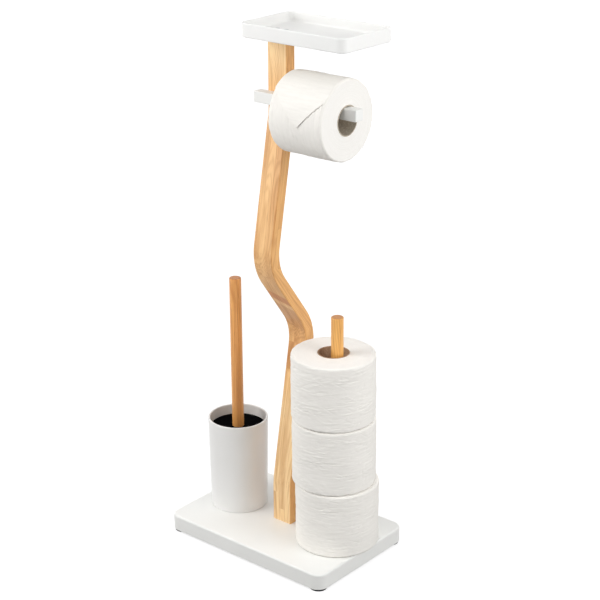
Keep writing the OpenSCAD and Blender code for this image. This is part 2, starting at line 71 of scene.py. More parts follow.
class Wiring:
    """Adds nodes to a node tree, each with its settings, plain values and links in one call.

    An input is named by its title with _ for a space, or by its number, as in i0 for the first.
    """

    def __init__(self, tree):
        self.tree = tree

    def add(self, kind, settings=None, **inputs):
        node = self.tree.nodes.new(kind)
        for key, value in (settings or {}).items():
            setattr(node, key, value)
        for key, value in inputs.items():
            by_number = key[0] == "i" and key[1:].isdigit()
            self.put(value, node.inputs[int(key[1:]) if by_number else key.replace("_", " ")])
        return node

    def put(self, value, socket):
        if isinstance(value, bpy.types.NodeSocket):
            self.tree.links.new(value, socket)
        else:
            socket.default_value = value

    def math(self, operation, a, b=0.0, c=0.0, clamp=False):
        settings = {"operation": operation, "use_clamp": clamp}
        return self.add("ShaderNodeMath", settings, i0=a, i1=b, i2=c).outputs[0]

    def plus(self, a, b, clamp=False):
        return self.math("ADD", a, b, clamp=clamp)

    def times(self, a, b):
        return self.math("MULTIPLY", a, b)

    def noise(self, place, per_metre=None, detail=2.0, roughness=0.5, distortion=0.0):
        """Noise with about this many features to the metre: one number, or one for each axis."""
        if per_metre is not None:
            density = per_metre if isinstance(per_metre, tuple) else (per_metre,) * 3
            scaled = self.add("ShaderNodeVectorMath", {"operation": "MULTIPLY"}, i0=place, i1=density)
            place = scaled.outputs[0]
        look = {"Scale": 1.0, "Detail": detail, "Roughness": roughness, "Distortion": distortion}
        return self.add("ShaderNodeTexNoise", None, Vector=place, **look).outputs["Fac"]

    def mix(self, amount, a, b, blend="MIX"):
        settings = {"data_type": "RGBA", "blend_type": blend}
        return self.add("ShaderNodeMix", settings, i0=amount, i6=a, i7=b).outputs[2]

    def spread(self, value, low, high, to_low=0.0, to_high=1.0):
        """A value's range from low to high, laid over another range and held at its ends."""
        ranges = {"From_Min": low, "From_Max": high, "To_Min": to_low, "To_Max": to_high}
        return self.add("ShaderNodeMapRange", None, Value=value, **ranges).outputs[0]

    def apart(self, vector):
        return self.add("ShaderNodeSeparateXYZ", None, Vector=vector).outputs

    def together(self, x, y, z):
        return self.add("ShaderNodeCombineXYZ", None, X=x, Y=y, Z=z).outputs[0]


def own_place(w):
    """A point's place on the object, in metres."""
    return w.add("ShaderNodeTexCoord").outputs["Object"]


def shader_group(name, inputs, outputs):
    """A new node group with its named sockets: (group, wiring, its inputs, its outputs)."""
    kinds = {"vector": "NodeSocketVector", "colour": "NodeSocketColor", "value": "NodeSocketFloat"}
    group = bpy.data.node_groups.new(name, "ShaderNodeTree")
    for direction, sockets in (("INPUT", inputs), ("OUTPUT", outputs)):
        for title, kind in sockets.items():
            group.interface.new_socket(name=title, in_out=direction, socket_type=kinds[kind])
    w = Wiring(group)
    return group, w, w.add("NodeGroupInput").outputs, w.add("NodeGroupOutput").inputs


def use_group(w, group, **inputs):
    return w.add("ShaderNodeGroup", {"node_tree": group}, **inputs).outputs


def finish_of(name, **shader_values):
    """A material with a Principled shader that holds its plain values: (material, wiring, shader)."""
    mat = bpy.data.materials.new(name)
    mat.use_nodes = True
    shader = mat.node_tree.nodes["Principled BSDF"]
    for key, value in shader_values.items():
        shader.inputs[key.replace("_", " ")].default_value = value
    return mat, Wiring(mat.node_tree), shader


def surface(w, shader, colour, height, depth, roughness=None):
    """Feeds a shader its colour, its relief of this depth and, where it varies, its roughness."""
    w.put(colour, shader.inputs["Base Color"])
    if roughness is not None:
        w.put(roughness, shader.inputs["Roughness"])
    relief = w.add("ShaderNodeBump", None, Height=height, Distance=depth, Strength=1.0)
    w.put(relief.outputs[0], shader.inputs["Normal"])


# Camera, light and floor

CAMERA_PLACE = (1.396306, -1.609992, 1.206139)
CAMERA_YAW, CAMERA_PITCH, CAMERA_ROLL = 40.2959, 21.0544, -0.3377
CAMERA_LENS, CAMERA_SENSOR = 94.7268, 36

ROOM_LIGHT = 0.5
FLOOR_REACH = 14
FLOOR_GREY = (0.42, 0.42, 0.42, 1.0)
# The floor's own glow near the object and far from it, with the distances where these hold
GLOW_NEAR, GLOW_FAR = 0.72, 0.94
GLOW_FROM, GLOW_TO = 0.3, 3.0


def place_camera():
    """The photograph's view: a long lens, from the front right and a little above the tray."""
    yaw, pitch, roll = (math.radians(a) for a in (CAMERA_YAW, CAMERA_PITCH, CAMERA_ROLL))
    flat = math.cos(pitch)
    ahead = Vector((-math.sin(yaw) * flat, math.cos(yaw) * flat, -math.sin(pitch)))
    level = Vector((math.cos(yaw), math.sin(yaw), 0))
    up = level.cross(ahead)
    right = level * math.cos(roll) + up * math.sin(roll)
    top = up * math.cos(roll) - level * math.sin(roll)
    data = bpy.data.cameras.new("camera")
    data.sensor_width = CAMERA_SENSOR
    data.lens = CAMERA_LENS
    data.clip_end = 50
    camera = bpy.data.objects.new("camera", data)
    turned = Matrix((right, top, -ahead)).transposed().to_4x4()
    camera.matrix_world = Matrix.Translation(CAMERA_PLACE) @ turned
    bpy.context.scene.collection.objects.link(camera)
    bpy.context.scene.camera = camera


def softbox(name, place, target, side, watts):
    """A square lamp that faces its target and that the eye doesn't see."""
    data = bpy.data.lights.new(name, "AREA")
    data.shape = "RECTANGLE"
    data.size = side
    data.size_y = side
    data.energy = watts
    lamp = bpy.data.objects.new(name, data)
    lamp.location = place
    lamp.rotation_euler = (Vector(target) - Vector(place)).to_track_quat("-Z", "Y").to_euler()
    lamp.visible_camera = False
    bpy.context.scene.collection.objects.link(lamp)


def seen_rays(w):
    """1 for what the eye sees, also in gloss or through glass, and 0 for what only lights."""
    rays = w.add("ShaderNodeLightPath").outputs
    plain_or_gloss = w.math("MAXIMUM", rays["Is Camera Ray"], rays["Is Glossy Ray"])
    return w.math("MAXIMUM", plain_or_gloss, rays["Is Transmission Ray"])


def white_room():
    """An even white surround: plain white to the eye and in reflections, weaker as light."""
    world = bpy.data.worlds.new("white_room")
    bpy.context.scene.world = world
    world.use_nodes = True
    world.node_tree.nodes.clear()
    w = Wiring(world.node_tree)
    lit = w.add("ShaderNodeBackground", None, Color=WHITE, Strength=ROOM_LIGHT)
    shown = w.add("ShaderNodeBackground", None, Color=WHITE, Strength=1.0)
    both = w.add("ShaderNodeMixShader", None, i0=seen_rays(w), i1=lit.outputs[0], i2=shown.outputs[0])
    w.add("ShaderNodeOutputWorld", None, i0=both.outputs[0])


def pale_floor():
    """A plain floor that the eye sees as near white, with the shadows that fall on it."""
    mesh = bpy.data.meshes.new("floor")
    r = FLOOR_REACH
    mesh.from_pydata([(-r, -r, 0), (r, -r, 0), (r, r, 0), (-r, r, 0)], [], [(0, 1, 2, 3)])
    floor = bpy.data.objects.new("floor", mesh)
    bpy.context.scene.collection.objects.link(floor)
    mat = bpy.data.materials.new("floor_white")
    mat.use_nodes = True
    mat.node_tree.nodes.clear()
    w = Wiring(mat.node_tree)
    distance = w.add("ShaderNodeVectorMath", {"operation": "LENGTH"}, i0=own_place(w))
    paling = w.spread(distance.outputs["Value"], GLOW_FROM, GLOW_TO, GLOW_NEAR, GLOW_FAR)
    matt = w.add("ShaderNodeBsdfDiffuse", None, Color=FLOOR_GREY)
    glow = w.add("ShaderNodeEmission", None, Color=WHITE, Strength=w.times(seen_rays(w), paling))
    both = w.add("ShaderNodeAddShader", None, i0=matt.outputs[0], i1=glow.outputs[0])
    w.add("ShaderNodeOutputMaterial", None, i0=both.outputs[0])
    mesh.materials.append(mat)


# Shared effects


def make_wood_grain():
    """Wood with its grain along Z: broad figure, growth lines, fine fibres and short dark pores."""
    group, w, i, o = shader_group(
        "wood grain",
        {
            "Place": "vector",
            "Light": "colour",
            "Dark": "colour",
            "Pore": "colour",
            "Tone": "value",
            "Figure": "value",
            "Lines": "value",
        },
        {"Color": "colour", "Roughness": "value", "Height": "value"},
    )
    broad = w.noise(i["Place"], (62, 62, 5.5), detail=3, distortion=0.6)
    fibres = w.noise(i["Place"], (900, 900, 11))
    pores = w.spread(w.noise(i["Place"], (2600, 2600, 70), detail=1), 0.66, 0.76)
    # The growth lines are a fine wave across the grain, which a slow warp bends into long arches
    wave_x, wave_y, arches, line_sharpness = 700.0, 1900.0, 105.0, 1.6
    warp = w.noise(i["Place"], (32, 32, 4.5), detail=0.6)
    at = w.apart(i["Place"])
    straight = w.plus(w.times(at["X"], wave_x), w.times(at["Y"], wave_y))
    wave = w.math("SINE", w.plus(straight, w.times(warp, arches)))
    lines = w.math("POWER", w.math("MULTIPLY_ADD", wave, 0.5, 0.5), line_sharpness)
    # How far each spot goes from the light colour to the dark
    amount = w.math("MULTIPLY_ADD", w.spread(broad, 0.32, 0.68, -0.5, 0.5), i["Figure"], i["Tone"])
    amount = w.plus(amount, w.spread(fibres, 0.35, 0.65, -0.14, 0.14))
    amount = w.plus(amount, w.times(w.math("SUBTRACT", lines, 0.4), i["Lines"]), clamp=True)
    colour = w.mix(amount, i["Light"], i["Dark"])
    w.put(w.mix(w.times(pores, 0.45), colour, i["Pore"]), o["Color"])
    w.put(w.spread(fibres, 0.3, 0.7, 0.36, 0.5), o["Roughness"])
    w.put(w.math("SUBTRACT", w.times(fibres, 0.6), w.times(pores, 0.7)), o["Height"])
    return group


def make_smooth_coat():
    """A smooth white coat that isn't perfect: faint clouds of tone, orange peel and touch marks."""
    group, w, i, o = shader_group(
        "smooth coat",
        {"Place": "vector", "Tint": "colour", "Shade": "colour", "Roughness": "value"},
        {"Color": "colour", "Roughness": "value", "Height": "value"},
    )
    clouds = w.noise(i["Place"], 9, detail=3)
    marks = w.noise(i["Place"], 60, detail=4, roughness=0.65)
    peel = w.noise(i["Place"], 420, detail=1)
    w.put(w.mix(w.spread(clouds, 0.35, 0.75), i["Tint"], i["Shade"]), o["Color"])
    w.put(w.plus(i["Roughness"], w.spread(marks, 0.3, 0.7, -0.02, 0.02)), o["Roughness"])
    w.put(peel, o["Height"])
    return group


def make_crepe():
    """Tissue: fine crepe lines across the sheet, soft embossed dents and loose fibres, with painted
    shade in their hollows.
    """
    group, w, i, o = shader_group(
        "tissue crepe",
        {"Place": "vector", "Light": "colour", "Shade": "colour"},
        {"Color": "colour", "Height": "value"},
    )
    creases = w.noise(i["Place"], (26, 26, 330), detail=3, roughness=0.6)
    dents = w.noise(i["Place"], (120, 120, 160))
    fuzz = w.noise(i["Place"], 1800)
    height = w.plus(w.times(creases, 0.7), w.times(dents, 0.3))
    # The hollows of the creases and dents take the Shade colour and the crests the Light colour:
    # painted shade and painted light that follow the relief
    w.put(w.mix(w.spread(height, 0.36, 0.62), i["Shade"], i["Light"]), o["Color"])
    w.put(w.plus(height, w.times(fuzz, 0.12)), o["Height"])
    return group


# Materials

WOOD_RELIEF = 0.0002


def white_finish(name, coat, tint, shade, roughness, peel):
    """Lacquered or moulded white, with an orange peel of the given depth."""
    mat, w, shader = finish_of(name)
    colours = {"Tint": linear(*tint), "Shade": linear(*shade)}
    made = use_group(w, coat, Place=own_place(w), Roughness=roughness, **colours)
    surface(w, shader, made["Color"], made["Height"], peel, made["Roughness"])
    return mat


def turned_wood(name, grain, light, dark, pore, top, coat_weight, **figure):
    """A round rod's wood, with darker end grain on its top face."""
    mat, w, shader = finish_of(name, Coat_Weight=coat_weight)
    place = own_place(w)
    colours = {"Light": linear(*light), "Dark": linear(*dark), "Pore": linear(*pore)}
    made = use_group(w, grain, Place=place, **colours, **figure)
    end_from, end_full, end_strength = top - 0.0009, top - 0.0002, 0.75
    on_end = w.spread(w.apart(place)["Z"], end_from, end_full, 0.0, end_strength)
    speckle = w.noise(place, 1500)
    end_grain = w.mix(w.spread(speckle, 0.35, 0.65), colours["Dark"], colours["Pore"])
    colour = w.mix(on_end, made["Color"], end_grain)
    surface(w, shader, colour, made["Height"], WOOD_RELIEF, made["Roughness"])
    return mat


# The post's middle line as pairs of height and depth, the heights of its ends, and half its width
POST_LINE = [
    (0.028, 0.0),
    (0.093, 0.0),
    (0.3335, 0.0435),
    (0.448, -0.0405),
    (0.666, 0.0),
    (0.774, 0.0),
]
POST_LOW, POST_HIGH = POST_LINE[0][0], POST_LINE[-1][0]
POST_HALF_W = 0.017
# Its staves and their lengths to the metre, and where the first stave begins, a hair outside the wood
STAVES_ACROSS, STAVES_DEEP, LENGTHS_UP = 88.0, 110.0, 5.2
STAVE_START_X, STAVE_START_Y, LENGTH_START = POST_HALF_W + 0.0001, 0.0093, 0.25
# The lengths of wood in the post's face, from the foot up: the height where each begins and its tone
FACE_TONES = {
    "bleached": (1.06, 1.16, 1.26),
    "pale": (1.07, 1.06, 1.0),
    "honey": (0.99, 0.94, 0.86),
    "tan": (0.9, 0.8, 0.66),
    "umber": (0.8, 0.68, 0.58),
    "red": (0.73, 0.48, 0.32),
}
FACE_LENGTHS = [
    (0.028, "bleached"),
    (0.225, "pale"),
    (0.261, "tan"),
    (0.3355, "umber"),
    (0.3755, "honey"),
    (0.3845, "red"),
    (0.3995, "tan"),
    (0.440, "honey"),
    (0.480, "pale"),
    (0.570, "honey"),
    (0.720, "bleached"),
]
FLANK_TONE = (0.92, 0.8, 0.6, 1.0)
# Over what height one length gives way to the next: a glued joint is sharp, the rest is gradual
SHARP_JOINTS = (0.261, 0.3355, 0.3755, 0.3845, 0.3995)
JOINT_HEIGHT, SOFT_HEIGHT = 0.001, 0.05
JOINT_SLANT = 0.35


def depth_behind_line(w, at):
    """How far a point lies behind the post's middle line, which a curve node follows up the post."""
    span, swing = POST_HIGH - POST_LOW, 0.1
    line = w.add("ShaderNodeFloatCurve", None, Value=w.spread(at["Z"], POST_LOW, POST_HIGH))
    curve = line.mapping.curves[0]
    for z, y in POST_LINE[1:-1]:
        curve.points.new((z - POST_LOW) / span, 0.5 + y / swing)
    curve.points[0].location = (0.0, 0.5)
    curve.points[-1].location = (1.0, 0.5)
    for point in curve.points:
        point.handle_type = "VECTOR"
    line.mapping.update()
    middle = w.times(w.math("SUBTRACT", line.outputs[0], 0.5), swing)
    return w.math("SUBTRACT", at["Y"], middle)


def face_tones(w, at):
    """The tone of the post's face at a height. Its lengths meet in slanted joints."""
    slanted = w.math("MULTIPLY_ADD", at["X"], JOINT_SLANT, at["Z"])
    tones = w.add("ShaderNodeValToRGB", None, Fac=w.spread(slanted, POST_LOW, POST_HIGH))
    ramp = tones.color_ramp
    stops = [(POST_LOW, FACE_LENGTHS[0][1])]
    for (_, below), (height, above) in zip(FACE_LENGTHS, FACE_LENGTHS[1:]):
        half = (JOINT_HEIGHT if height in SHARP_JOINTS else SOFT_HEIGHT) / 2
        stops += [(height - half, below), (height + half, above)]
    for k, (height, tone) in enumerate(stops):
        share = (height - POST_LOW) / (POST_HIGH - POST_LOW)
        stop = ramp.elements[k] if k < 2 else ramp.elements.new(share)
        stop.position = share
        stop.color = FACE_TONES[tone] + (1.0,)
    return tones.outputs["Color"]


def laminated_wood(grain):
    """The post's wood: narrow staves glued side by side and end to end, which follow its bends."""
    mat, w, shader = finish_of("post_wood", Coat_Weight=0.12, Coat_Roughness=0.35)
    at = w.apart(own_place(w))
    back = depth_behind_line(w, at)
    # Three staves side by side and two deep, each of lengths that end at their own heights
    column = w.math("FLOOR", w.times(w.plus(at["X"], STAVE_START_X), STAVES_ACROSS))
    row = w.math("FLOOR", w.times(w.plus(back, STAVE_START_Y), STAVES_DEEP))
    stave = w.together(column, row, 0.0)
    start = w.add("ShaderNodeTexWhiteNoise", {"noise_dimensions": "2D"}, Vector=stave)
    begin = w.math("SUBTRACT", start.outputs["Value"], LENGTH_START)
    length = w.math("FLOOR", w.math("MULTIPLY_ADD", at["Z"], LENGTHS_UP, begin))
    stick = w.together(column, row, length)
    chance = w.add("ShaderNodeTexWhiteNoise", {"noise_dimensions": "3D"}, Vector=stick)
    # Each length shows another spot of the grain, and a tone of its own
    shift = w.add("ShaderNodeVectorMath", {"operation": "SCALE"}, i0=chance.outputs["Color"], Scale=3.0)
    here = w.together(at["X"], back, at["Z"])
    place = w.add("ShaderNodeVectorMath", {"operation": "ADD"}, i0=here, i1=shift.outputs[0])
    made = use_group(
        w,
        grain,
        Place=place.outputs[0],
        Light=linear(253, 208, 150),
        Dark=linear(196, 132, 70),
        Pore=linear(140, 86, 44),
        Tone=w.math("MULTIPLY_ADD", chance.outputs["Value"], 0.34, 0.06),
        Figure=0.52,
        Lines=0.28,
    )
    face = w.mix(1.0, made["Color"], face_tones(w, at), "MULTIPLY")
    flank = w.mix(1.0, made["Color"], FLANK_TONE, "MULTIPLY")
    flank_from, flank_full = POST_HALF_W - 0.0016, POST_HALF_W - 0.0006
    on_flank = w.spread(w.math("ABSOLUTE", at["X"]), flank_from, flank_full)
    colour = w.mix(on_flank, face, flank)
    surface(w, shader, colour, made["Height"], WOOD_RELIEF, made["Roughness"])
    return mat


def tissue(name, crepe, light, shade, relief):
    """The rolls' outer sheet, with painted shade in its crepe's hollows."""
    mat, w, shader = finish_of(name, Roughness=0.92)
    made = use_group(w, crepe, Place=own_place(w), Light=linear(*light), Shade=linear(*shade))
    surface(w, shader, made["Color"], made["Height"], relief)
    return mat


def wound_edge(name):
    """The roll's end: the cut edges of its many layers, as fine rings round the core, with painted
    shade in the grooves between them.
    """
    mat, w, shader = finish_of(name, Roughness=0.95)
    place = own_place(w)
    at = w.apart(place)
    layers, wander, relief = 950.0, 4.0, 0.0006
    r = w.math("SQRT", w.plus(w.times(at["X"], at["X"]), w.times(at["Y"], at["Y"])))
    turn = w.plus(w.times(r, layers), w.times(w.noise(place, 14, detail=1), wander))
    rings = w.noise(w.together(turn, 0.0, 0.0))
    height = w.plus(w.times(rings, 0.75), w.times(w.noise(place, 900), 0.25))
    # The grooves between the layers take the darker colour and the layers' edges the paler: painted
    # shade between the cut edges
    colour = w.mix(w.spread(height, 0.34, 0.6), linear(246, 243, 237), linear(254, 252, 248))
    surface(w, shader, colour, height, relief)
    return mat


def cardboard(name, pale, dull):
    """Rough board with fibres and darker flecks."""
    mat, w, shader = finish_of(name, Roughness=0.88)
    place = own_place(w)
    fibre = w.noise(place, 420, detail=3)
    flecks = w.spread(w.noise(place, 1500, detail=1), 0.62, 0.72, 0.0, 0.6)
    board = w.mix(w.spread(fibre, 0.35, 0.65), linear(*dull), linear(*pale))
    fleck = linear(*(c - 36 for c in dull))
    surface(w, shader, w.mix(flecks, board, fleck), fibre, 0.0003)
    return mat


def dark_moulding(name, colour, roughness, relief, gloss=0.2):
    """Black plastic or rubber with a fine grain."""
    mat, w, shader = finish_of(name, Specular_IOR_Level=gloss)
    place = own_place(w)
    grain = w.noise(place, 900)
    cloud = w.noise(place, 25)
    shade = w.mix(cloud, linear(*colour), linear(*(min(255, c + 4) for c in colour)))
    dull = w.spread(cloud, 0.3, 0.7, roughness - 0.06, roughness + 0.06)
    surface(w, shader, shade, grain, relief, dull)
    return mat


def metal(name, colour, roughness):
    """Plated metal with clouds and fine marks."""
    mat, w, shader = finish_of(name, Metallic=1.0)
    place = own_place(w)
    marks = w.noise(place, 1200, detail=3)
    cloud = w.noise(place, 150)
    shade = w.mix(w.spread(cloud, 0.3, 0.7), linear(*(c - 22 for c in colour)), linear(*colour))
    dull = w.spread(marks, 0.3, 0.7, roughness - 0.08, roughness + 0.1)
    surface(w, shader, shade, marks, 0.00004, dull)
    return mat


def dress(frame, mat, *nodes):
    """Gives CAD nodes their material."""
    for name in nodes:
        mesh = frame["nodes"][name].data
        mesh.materials.clear()
        mesh.materials.append(mat)


# Paper rolls

# A roll's mesh: points round it, rings up its side, and rings on each end and on each rim
ROLL_AROUND, ROLL_ALONG, END_RINGS, RIM_RINGS = 300, 140, 24, 6
ROLL_RIM = 0.0032
# How far the side and the ends stay within the roll's full size
ROLL_SLACK, END_SLACK = 0.0004, 0.0004
# The side's swells and the step at the sheet's loose end
SWELL_DEPTH, LOOSE_SHEET = 0.0003, 0.0004
# How far the rims fray and waver, and how much the layers on the ends differ in level
RAGGED_RIM, WAVER_DEPTH, LAYER_STEP = 0.0005, 0.0003, 0.00006
CREASES = {"count": 2300, "depth": 0.0003, "reaches": (0.003, 0.011), "widths": (0.0005, 0.0012)}
DENTS = {"count": 900, "depth": 0.0003, "reaches": (0.0015, 0.005), "widths": (0.0012, 0.0028)}
FLAP_CREASES = {"count": 260, "depth": 0.00008, "reaches": (0.003, 0.011), "widths": (0.0005, 0.0012)}


def new_piece(name, vertices, faces, mats, smooth=True):
    """A mesh object with its materials."""
    mesh = bpy.data.meshes.new(name)
    mesh.from_pydata([tuple(v) for v in vertices], [], [tuple(int(k) for k in f) for f in faces])
    mesh.polygons.foreach_set("use_smooth", [smooth] * len(mesh.polygons))
    for mat in mats:
        mesh.materials.append(mat)
    mesh.update()
    piece = bpy.data.objects.new(name, mesh)
    bpy.context.scene.collection.objects.link(piece)
    return piece


def waves(rng, turns, lengths, count, angle, height):
    """Soft uneven swells over a roll's side: shallow waves that run round it."""
    out = np.zeros(np.broadcast(angle, height).shape)
    for _ in range(count):
        m = rng.integers(turns[0], turns[1])
        k = TAU / rng.uniform(*lengths)
        out += np.sin(m * angle + k * height * rng.choice((-1, 1)) + rng.uniform(0, TAU))
    return out / math.sqrt(count)


def wrinkles(rng, shape, steps, patch, count, depth, reaches, widths):
    """Short fine creases of a wound sheet: each runs a little way round the roll and fades out.

    The grid goes round the roll by rows and along its axis by columns, with its steps in metres.
    Creases are dense where the patch map is high, most run nearly level, and the others slant.
    """
    level_share, level_spread, slants = 0.76, 0.09, (0.25, 0.75)
    patchiness, strengths, bow = (-1.6, 1.2), (0.4, 1.0), 0.0004
    # How many times its reach and its width a crease takes to fade out
    fade_round, fade_long = 2.4, 2.6
    round_step, long_step = steps
    out = np.zeros(shape)
    for _ in range(count):
        a, b = rng.integers(0, shape[0]), rng.integers(0, shape[1])
        if patch[a, b] < rng.uniform(*patchiness):
            continue
        reach, width = rng.uniform(*reaches), rng.uniform(*widths)
        if rng.uniform() < level_share:
            slope = rng.normal(0, level_spread)
        else:
            slope = rng.choice((-1, 1)) * rng.uniform(*slants)
        high = rng.choice((-1, 1)) * rng.uniform(*strengths) * depth
        da = int(fade_round * reach / round_step) + 1
        db = int((fade_long * width + abs(slope) * 2.2 * reach) / long_step) + 2
        rows, cols = np.arange(a - da, a + da + 1), np.arange(b - db, b + db + 1)
        cols = cols[(cols >= 0) & (cols < shape[1])]
        u, v = (rows - a)[:, None] * round_step, (cols - b)[None, :] * long_step
        v = v - slope * u - bow * np.sin(u / reach * 2.0)
        out[np.ix_(rows % shape[0], cols)] += high * np.exp(-((u / reach) ** 2) - (v / width) ** 2)
    return out


def roll_outline(radius, bore_r, length):
    """A roll's outline from the bore's foot, out along the low end, up the side and back in along
    the top: its radii, its heights, and each point's share in the side, which is 0 on the ends."""
    ends = np.linspace(bore_r, radius - ROLL_RIM, END_RINGS)
    turn = np.radians(np.linspace(-90, 0, RIM_RINGS + 2)[1:-1])
    rim_r, rim_z = radius - ROLL_RIM + ROLL_RIM * np.cos(turn), ROLL_RIM + ROLL_RIM * np.sin(turn)
    side_z = np.linspace(ROLL_RIM, length - ROLL_RIM, ROLL_ALONG)
    low_z, high_z = np.zeros(END_RINGS), np.full(END_RINGS, length)
    radii = np.concatenate((ends, rim_r, np.full(ROLL_ALONG, radius), rim_r[::-1], ends[::-1]))
    heights = np.concatenate((low_z, rim_z, side_z, length - rim_z[::-1], high_z))
    share = np.zeros(len(radii))
    first, last = END_RINGS + RIM_RINGS, END_RINGS + RIM_RINGS + ROLL_ALONG
    share[END_RINGS:first] = np.linspace(0.2, 0.9, RIM_RINGS)
    share[first:last] = 1.0
    share[last:last + RIM_RINGS] = np.linspace(0.9, 0.2, RIM_RINGS)
    return radii, heights, share


def paper_roll(name, radius, bore_r, length, seed, body, nodes, mats, upright, place, tail_at):
    """One roll of tissue about its own Z axis, without its core: creased side, soft rims and
    uneven end faces, with the step where its sheet ends."""
    rng = np.random.default_rng(seed)
    angle = np.arange(ROLL_AROUND) * TAU / ROLL_AROUND
    radii, heights, share = roll_outline(radius, bore_r, length)
    rows = len(radii)
    on_side, off_side = share[:, None], (share < 1)[:, None]

    patch = waves(rng, (1, 5), (0.02, 0.08), 8, angle[:, None], heights[None, :])
    swell = waves(rng, (1, 4), (0.04, 0.12), 6, angle[:, None], heights[None, :])
    grid = (ROLL_AROUND, rows)
    steps = (TAU * radius / ROLL_AROUND, (length - 2 * ROLL_RIM) / (ROLL_ALONG - 1))
    crease = wrinkles(rng, grid, steps, patch, **CREASES)
    crease += wrinkles(rng, grid, steps, patch, **DENTS)
    tail = ((angle - tail_at) % TAU) / TAU
    r = radii[:, None] + on_side * (crease + SWELL_DEPTH * swell).T
    r = r - on_side * (LOOSE_SHEET * tail[None, :] + ROLL_SLACK)

    # The rims waver, and layers lie a little higher and lower on the end faces
    waver = waves(rng, (2, 9), (1.0, 2.0), 7, angle, 0.0)
    waver = waver + 0.5 * waves(rng, (9, 34), (1.0, 2.0), 12, angle, 0.0)
    ragged = np.abs(waves(rng, (5, 30), (1.0, 2.0), 12, angle, 0.0))[None, :]
    r -= (4 * share * (1 - share))[:, None] * RAGGED_RIM * ragged
    layer = np.interp(radii, np.linspace(0, radius, 40), rng.normal(0, LAYER_STEP, 40))
    level = (1 - share)[:, None] * layer[:, None]
    level = level + WAVER_DEPTH * waver[None, :] * (radii / radius)[:, None] ** 6 * off_side
    outward = np.where(heights < length / 2, -1.0, 1.0)[:, None]
    z = np.clip(heights[:, None] + outward * (level - END_SLACK * off_side), 0.0, length)

    vertices = np.stack((r * np.cos(angle), r * np.sin(angle), z), -1).reshape(-1, 3)
    k, j = np.repeat(np.arange(rows), ROLL_AROUND), np.tile(np.arange(ROLL_AROUND), rows)
    here, above = k * ROLL_AROUND, (k + 1) % rows * ROLL_AROUND
    after = (j + 1) % ROLL_AROUND
    faces = np.stack((here + j, here + after, above + after, above + j), -1)
    piece = new_piece(name, vertices, faces, mats)
    sides = (k >= END_RINGS - 1) & (k < rows - END_RINGS)
    piece.data.polygons.foreach_set("material_index", np.where(sides, 0, 1))
    if upright:
        piece.location = place
    else:
        piece.matrix_world = Matrix.Translation(place) @ Matrix.Rotation(math.pi / 2, 4, "Y")
    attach(piece, body)
    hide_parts(*nodes)


def folded_end(radius, length, place, mats):
    """The end of the roll in use, folded to a point: a thin flap over the roll's front whose two
    slanting edges stand a little clear of the layer below."""
    rng = np.random.default_rng(21)
    tip_x, tip_turn, top_turn = 0.0506, math.radians(185.5), math.radians(75)
    sheet, clearance = 0.00025, 0.00035
    # The slanting edges' rise above the layer below, over what distance, and what is left at the rims
    lift, curl, rim_zone, rim_lift = 0.00065, 0.004, 0.01, 0.15
    # How deep the flap's top edge dives into the roll and over what distance, and its creases' zone
    tuck, tuck_zone, crease_zone = 0.0009, 0.02, 0.02
    along, around, edge_crowding = 119, 110, 1.6
    xs = np.linspace(0.001, length - 0.001, along)
    edge_turn = tip_turn - np.abs(xs - tip_x) * (1 / radius)
    shares = 1 - (1 - np.linspace(0, 1, around)) ** edge_crowding
    turn = top_turn + shares[None, :] * (edge_turn - top_turn)[:, None]
    from_edge = (edge_turn[:, None] - turn) * radius * math.sqrt(0.5)
    from_top = (turn - top_turn) * radius

    # The layer below rounds off at the roll's two rims
    near = np.clip(ROLL_RIM - np.minimum(xs, length - xs), 0.0, ROLL_RIM)
    below = radius - ROLL_RIM + np.sqrt(np.maximum(ROLL_RIM ** 2 - near ** 2, 0.0))
    base = below[:, None] - ROLL_SLACK
    at_rims = np.clip(np.minimum(xs, length - xs) / rim_zone, rim_lift, 1.0)[:, None]
    clear = clearance + lift * np.exp(-from_edge / curl) * at_rims
    grid, steps = (along, around), (xs[1] - xs[0], 0.0011)
    crease = wrinkles(rng, grid, steps, np.ones(grid), **FLAP_CREASES)
    crease = crease * np.exp(-((from_edge / crease_zone) ** 2))
    merge = np.clip(from_top / tuck_zone, 0.0, 1.0)
    under = base + (clear + crease) * merge - tuck * (1 - merge)

    vertices = []
    for skin in (under, under + sheet):
        y, z = skin * np.cos(turn), skin * np.sin(turn)
        vertices.append(np.stack((np.broadcast_to(xs[:, None], y.shape), y, z), -1).reshape(-1, 3))
    n = along * around
    faces = []
    for a in range(along - 1):
        for b in range(around - 1):
            c = a * around + b
            faces.append((c, c + 1, c + around + 1, c + around))
            faces.append((n + c, n + c + around, n + c + around + 1, n + c + 1))
    rim = [a * around for a in range(along)]
    rim += [(along - 1) * around + b for b in range(1, around)]
    rim += [a * around + around - 1 for a in range(along - 2, -1, -1)]
    rim += list(range(around - 2, 0, -1))
    for c, d in zip(rim, rim[1:] + rim[:1]):
        faces.append((c, d, n + d, n + c))
    piece = new_piece("hanging_folded_end", np.concatenate(vertices), faces, mats)
    piece.location = place
    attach(piece, "hanging_roll")


# Feet and brush


def turned_rings(outline, around, centre=(0.0, 0.0), first=0):
    """The rings of a turned form, whose outline of radii and heights runs up its outside:
    (vertices, faces), with the faces counted from the first vertex's number."""
    turns = [k * TAU / around for k in range(around)]
    x, y = centre
    vertices = [(x + r * math.cos(a), y + r * math.sin(a), z) for r, z in outline for a in turns]
    faces = []
    for ring in range(len(outline) - 1):
        low = first + ring * around
        for k in range(around):
            after = (k + 1) % around
            faces.append((low + k, low + after, low + around + after, low + around + k))
    return vertices, faces


